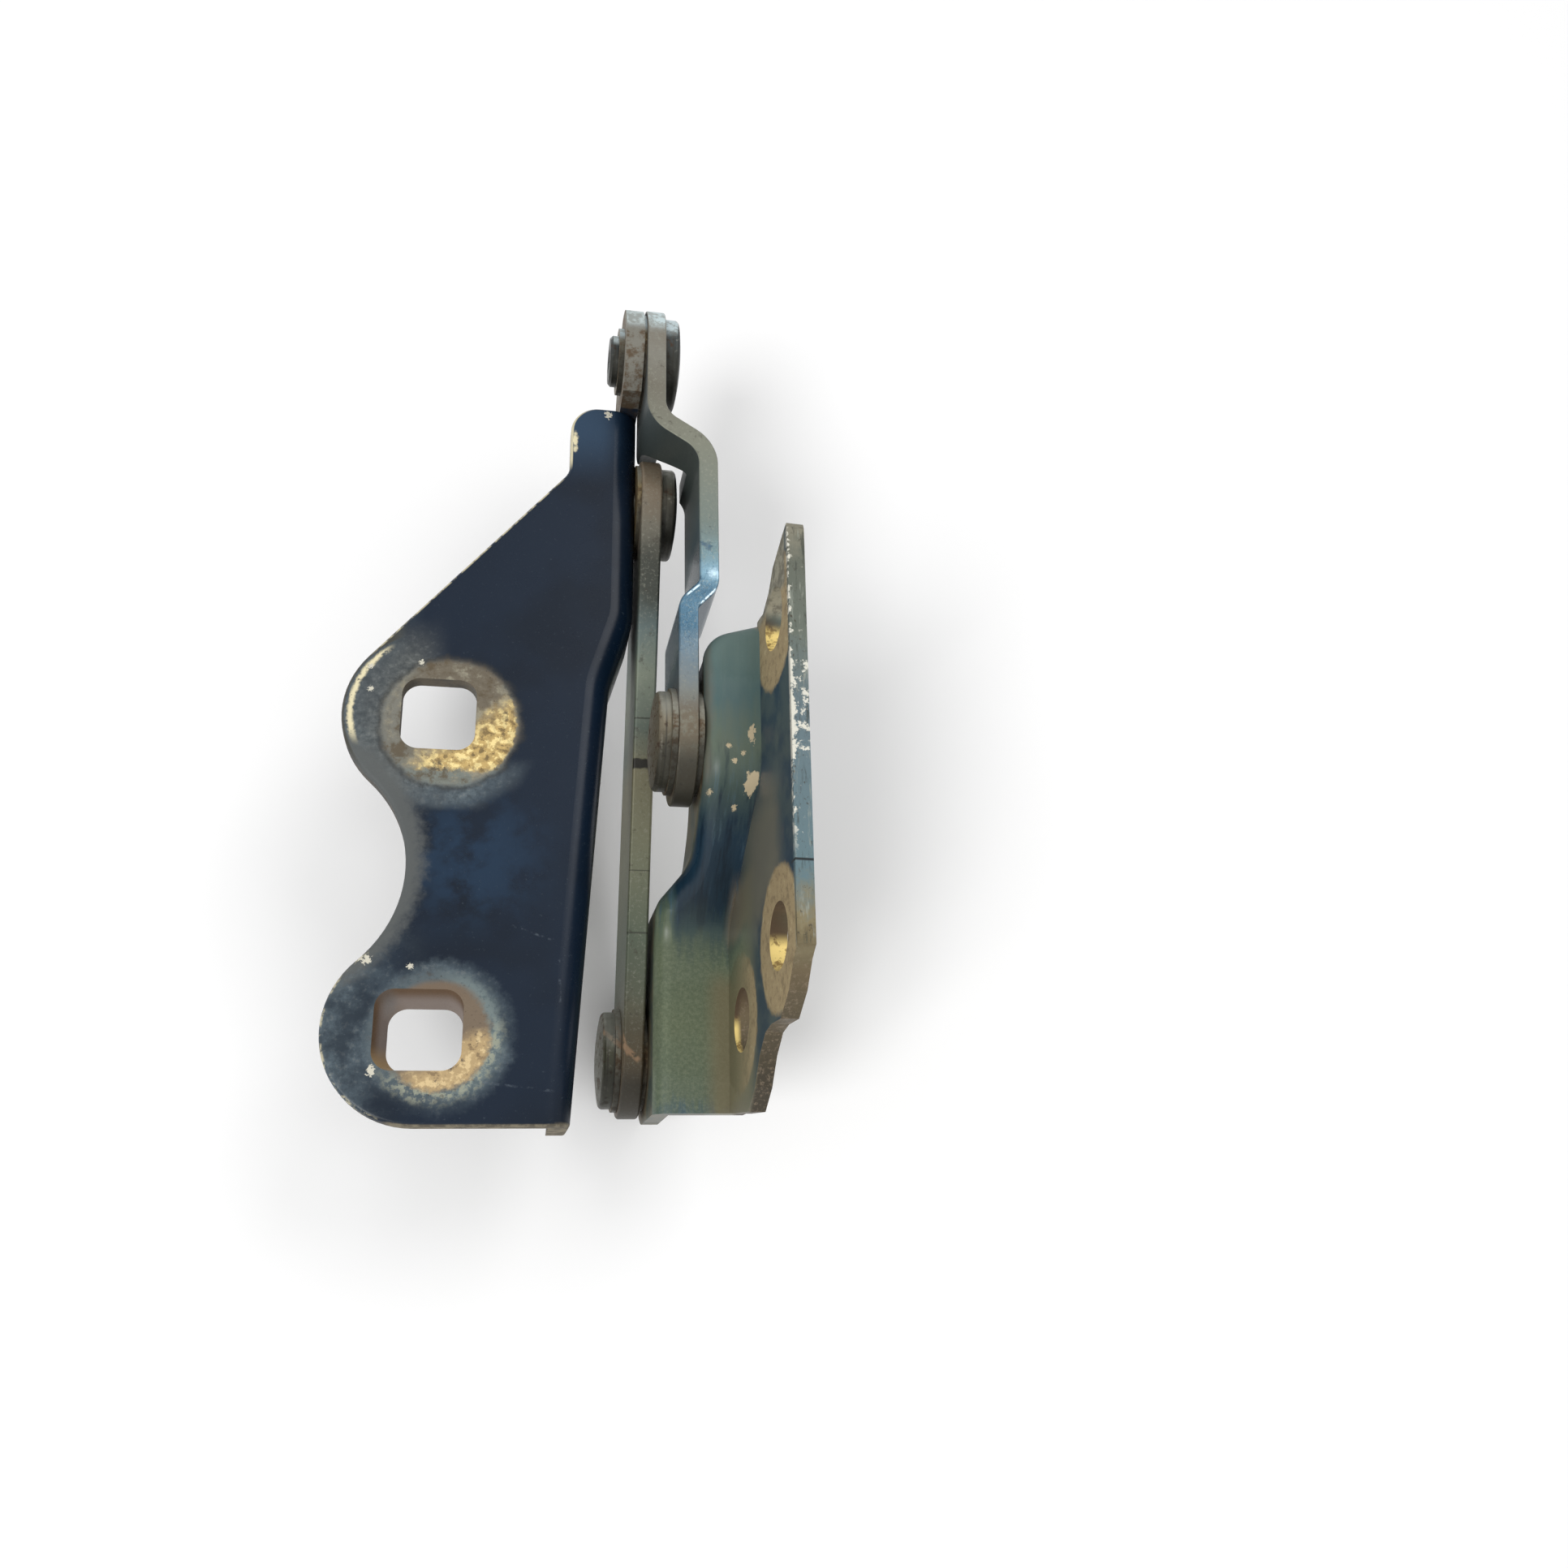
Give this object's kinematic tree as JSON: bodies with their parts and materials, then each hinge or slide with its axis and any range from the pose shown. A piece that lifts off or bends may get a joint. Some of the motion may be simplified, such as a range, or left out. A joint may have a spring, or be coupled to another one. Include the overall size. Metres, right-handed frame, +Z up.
{
  "type": "hood hinge",
  "caption": "Four-bar car hood hinge of sheet steel: a body bracket and a hood bracket joined by two riveted links.",
  "frame": {"origin": "underside of the body bracket's flange, midway between its two square bolt holes", "axes": "+Z up out of the body flange, +Y along the flange towards the rear pivots, +X inboard towards the hood bracket"},
  "size_m": [0.0762, 0.1582, 0.0757],
  "materials": {
    "body_paint": "glossy dark navy coat, worn to bare steel at the bolt holes",
    "hood_paint": "grey-blue and olive-grey coat, streaked and chipped",
    "link_zinc": "olive-grey zinc, rusted at the eyes",
    "rivet_steel": "dark steel with light rust",
    "bush_bronze": "dark bronze",
    "washer_steel": "dark steel with light rust"
  },
  "bodies": {
    "body_side": {"body_bracket": "body_paint", "rivet_upper_rear": "rivet_steel", "rivet_lower_rear": "rivet_steel", "tail_washer_upper_rear": "washer_steel"},
    "upper_link": {"upper_link": "link_zinc", "bush_upper_rear": "bush_bronze"},
    "lower_link": {"lower_link": "link_zinc", "bush_lower_rear": "bush_bronze", "bush_lower_front": "bush_bronze"},
    "hood_side": {"hood_bracket": "hood_paint", "rivet_upper_front": "rivet_steel", "rivet_lower_front": "rivet_steel", "spacer_upper_front": "washer_steel", "thrust_washer_upper_front": "washer_steel", "thrust_washer_lower_front": "washer_steel", "tail_washer_upper_front": "washer_steel", "tail_washer_lower_front": "washer_steel"}
  },
  "joints": [
    {"name": "lower_link_swing", "type": "hinge", "parent": "body_side", "child": "lower_link", "pos_m": [0, 0.0762, -0.0038], "axis": [-1, 0, 0], "range_deg": [0, 72]},
    {"name": "upper_link_swing", "type": "hinge", "parent": "body_side", "child": "upper_link", "pos_m": [0, 0.1044, 0.0059], "axis": [-1, 0, 0], "range_deg": [0, 73.6]},
    {"name": "hood_tilt", "type": "hinge", "parent": "lower_link", "child": "hood_side", "pos_m": [0, -0.0285, -0.0267], "axis": [1, 0, 0], "range_deg": [0, 34.6]}
  ],
  "couplings": [
    {"joint": "upper_link_swing", "follows": "lower_link_swing", "ratio": 1.022},
    {"joint": "hood_tilt", "follows": "lower_link_swing", "ratio": 0.48}
  ]
}
